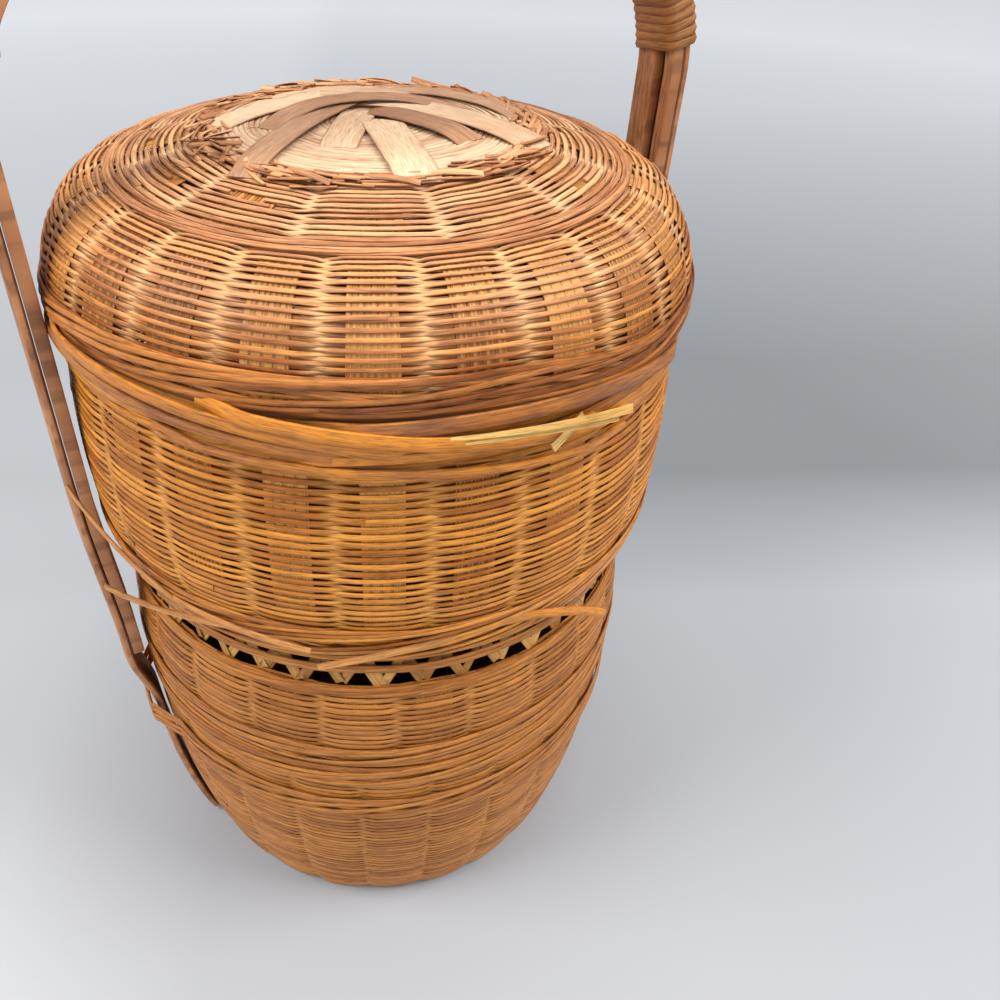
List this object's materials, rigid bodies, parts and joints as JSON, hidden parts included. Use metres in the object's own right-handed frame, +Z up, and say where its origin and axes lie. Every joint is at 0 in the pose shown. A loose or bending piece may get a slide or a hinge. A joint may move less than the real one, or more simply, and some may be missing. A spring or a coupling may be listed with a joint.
{
  "type": "tiered bamboo food basket",
  "caption": "Round woven bamboo food basket: stacked tiers with raised floors, an openwork collar and a domed lid, held under a fixed arched handle of split bamboo strips.",
  "frame": {"origin": "middle of the basket's flat underside, on the surface it stands on", "axes": "+Z up, -Y towards the side that the picture shows, +X to the right; the handle's plane is turned 23 degrees about Z from X"},
  "size_m": [0.234, 0.2238, 0.4115],
  "materials": {
    "weave": "satin",
    "border": "satin",
    "pale_bamboo": "satin",
    "handle_bamboo": "gloss",
    "cane": "satin"
  },
  "bodies": {
    "base": {"bottom_tier_wall": "weave", "bottom_rim_hoop": "pale_bamboo", "bottom_rim_border": "border", "bottom_waist_band": "border", "handle_outer_strap": "handle_bamboo", "handle_near_strip": "handle_bamboo", "handle_far_strip": "handle_bamboo", "right_shoulder_winding": "cane", "left_shoulder_winding": "cane"},
    "middle_tier": {"middle_tier_wall": "weave", "middle_foot_border": "border", "middle_rim_edging": "border", "collar_outer_zigzag": "pale_bamboo", "collar_inner_zigzag": "pale_bamboo", "collar_band": "border", "collar_top_hoop": "pale_bamboo"},
    "upper_tier": {"upper_tier_wall": "weave", "upper_rim_hoop": "pale_bamboo", "upper_rim_border": "border", "upper_foot_border": "border"},
    "lid": {"lid_dome": "weave", "lid_rim_hoop": "pale_bamboo", "lid_rim_border": "border", "lid_crown_ring": "border", "crown_splint_1": "pale_bamboo", "crown_splint_2": "pale_bamboo", "crown_splint_3": "pale_bamboo", "crown_splint_4": "pale_bamboo"}
  },
  "joints": [
    {"name": "middle_tier_lift", "type": "slide", "parent": "base", "child": "middle_tier", "axis": [0, 0, 1], "range_m": [0, 0.011]},
    {"name": "upper_tier_lift", "type": "slide", "parent": "middle_tier", "child": "upper_tier", "axis": [0, 0, 1], "range_m": [0, 0.013]},
    {"name": "lid_lift", "type": "slide", "parent": "upper_tier", "child": "lid", "axis": [0, 0, 1], "range_m": [0, 0.018]}
  ]
}
